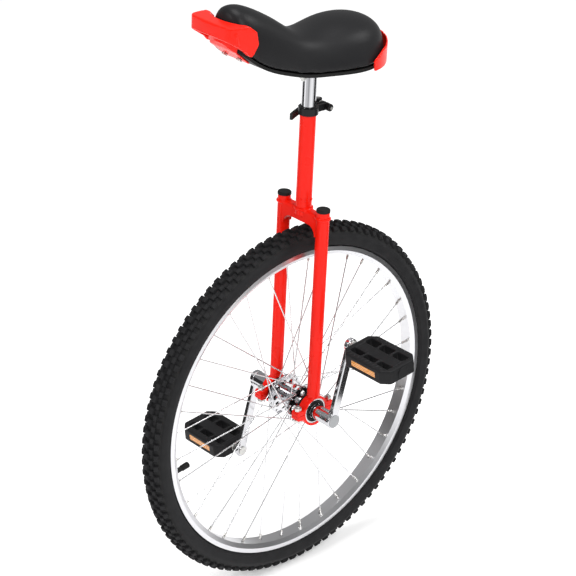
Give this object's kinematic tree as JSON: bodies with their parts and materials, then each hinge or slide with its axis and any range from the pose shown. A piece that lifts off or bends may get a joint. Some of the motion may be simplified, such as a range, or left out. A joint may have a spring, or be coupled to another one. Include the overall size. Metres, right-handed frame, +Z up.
{
  "type": "unicycle",
  "caption": "Square-crown unicycle: knobbly tyre on a spoked wheel, cranks with flat pedals, red frame, quick-release seat post and banana saddle with a front grab handle.",
  "frame": {"origin": "on the ground, straight under the axle, in the wheel's middle plane", "axes": "+X forward (the saddle's handle end), +Y to the rider's left, +Z up"},
  "size_m": [0.5998, 0.411, 0.9778],
  "materials": {
    "tyre": "black knobbly rubber",
    "inner_tube": "butyl",
    "rim": "polished silver",
    "rim_tape": "woven tape",
    "valve_rubber": "satin black",
    "valve_cap": "satin black",
    "spoke_steel": "bright drawn wire",
    "nipple_plating": "nickel plate",
    "hub_chrome": "polished",
    "axle_steel": "machined",
    "bearing_steel": "ground",
    "shield_rubber": "satin black",
    "crank_chrome": "polished",
    "crank_cap_grey": "satin grey",
    "zinc_plate": "zinc plated",
    "frame_red": "gloss red powder coat",
    "plug_black": "moulded black",
    "clamp_black": "black anodised",
    "post_chrome": "polished",
    "bracket_black": "black",
    "base_black": "moulded black",
    "vinyl_black": "smooth black vinyl",
    "bumper_red": "gloss moulded red",
    "pedal_black": "moulded black",
    "reflector_amber": "clear amber",
    "bush_plastic": "white nylon"
  },
  "bodies": {
    "frame": {"crown": "frame_red", "seat_tube": "frame_red", "crown_rivets": "frame_red", "cap_bolts": "zinc_plate", "cap_nuts": "zinc_plate", "clamp_collar": "clamp_black", "clamp_skewer": "zinc_plate", "clamp_nut": "clamp_black", "cam_washer": "bush_plastic", "cam_pin": "zinc_plate", "leg_plugs": "plug_black", "left_outer_race": "bearing_steel", "right_outer_race": "bearing_steel", "left_leg": "frame_red", "right_leg": "frame_red", "left_bearing_housing": "frame_red", "right_bearing_housing": "frame_red", "left_bearing_cap": "frame_red", "right_bearing_cap": "frame_red"},
    "wheel": {"tyre": "tyre", "inner_tube": "inner_tube", "rim": "rim", "rim_tape": "rim_tape", "valve_stem": "valve_rubber", "valve_cap": "valve_cap", "spokes": "spoke_steel", "nipples": "nipple_plating", "hub_shell": "hub_chrome", "axle": "axle_steel", "left_crank": "crank_chrome", "right_crank": "crank_chrome", "crank_bolts": "zinc_plate", "crank_caps": "crank_cap_grey", "axle_spacers": "axle_steel", "dust_shields": "shield_rubber", "bearing_balls": "bearing_steel", "left_inner_race": "bearing_steel", "right_inner_race": "bearing_steel", "left_pedal_spindle": "zinc_plate", "right_pedal_spindle": "zinc_plate"},
    "left_pedal": {"left_pedal_body": "pedal_black", "left_pedal_bushes": "bush_plastic", "left_pedal_dust_cap": "pedal_black", "left_pedal_reflectors": "reflector_amber"},
    "right_pedal": {"right_pedal_body": "pedal_black", "right_pedal_bushes": "bush_plastic", "right_pedal_dust_cap": "pedal_black", "right_pedal_reflectors": "reflector_amber"},
    "seat": {"seat_post": "post_chrome", "post_plug": "plug_black", "seat_bracket": "bracket_black", "bracket_bolts": "zinc_plate", "bracket_nuts": "zinc_plate", "saddle_base": "base_black", "saddle_cushion": "vinyl_black", "front_handle": "bumper_red", "rear_bumper": "bumper_red", "bumper_screws": "zinc_plate"},
    "lever": {"quick_release_lever": "clamp_black"}
  },
  "joints": [
    {"name": "wheel_spin", "type": "hinge", "parent": "frame", "child": "wheel", "pos_m": [0, 0, 0.3], "axis": [0, 1, 0], "continuous": true},
    {"name": "left_pedal_spin", "type": "hinge", "parent": "wheel", "child": "left_pedal", "pos_m": [-0.03008, 0.1535, 0.42339], "axis": [0, 1, 0], "continuous": true},
    {"name": "right_pedal_spin", "type": "hinge", "parent": "wheel", "child": "right_pedal", "pos_m": [0.03008, -0.1535, 0.17661], "axis": [0, 1, 0], "continuous": true},
    {"name": "seat_height", "type": "slide", "parent": "frame", "child": "seat", "axis": [0, 0, 1], "range_m": [-0.02, 0.075]},
    {"name": "quick_release", "type": "hinge", "parent": "frame", "child": "lever", "pos_m": [-0.032, -0.014, 0.788], "axis": [0, 0, -1], "range_deg": [0, 170]}
  ]
}
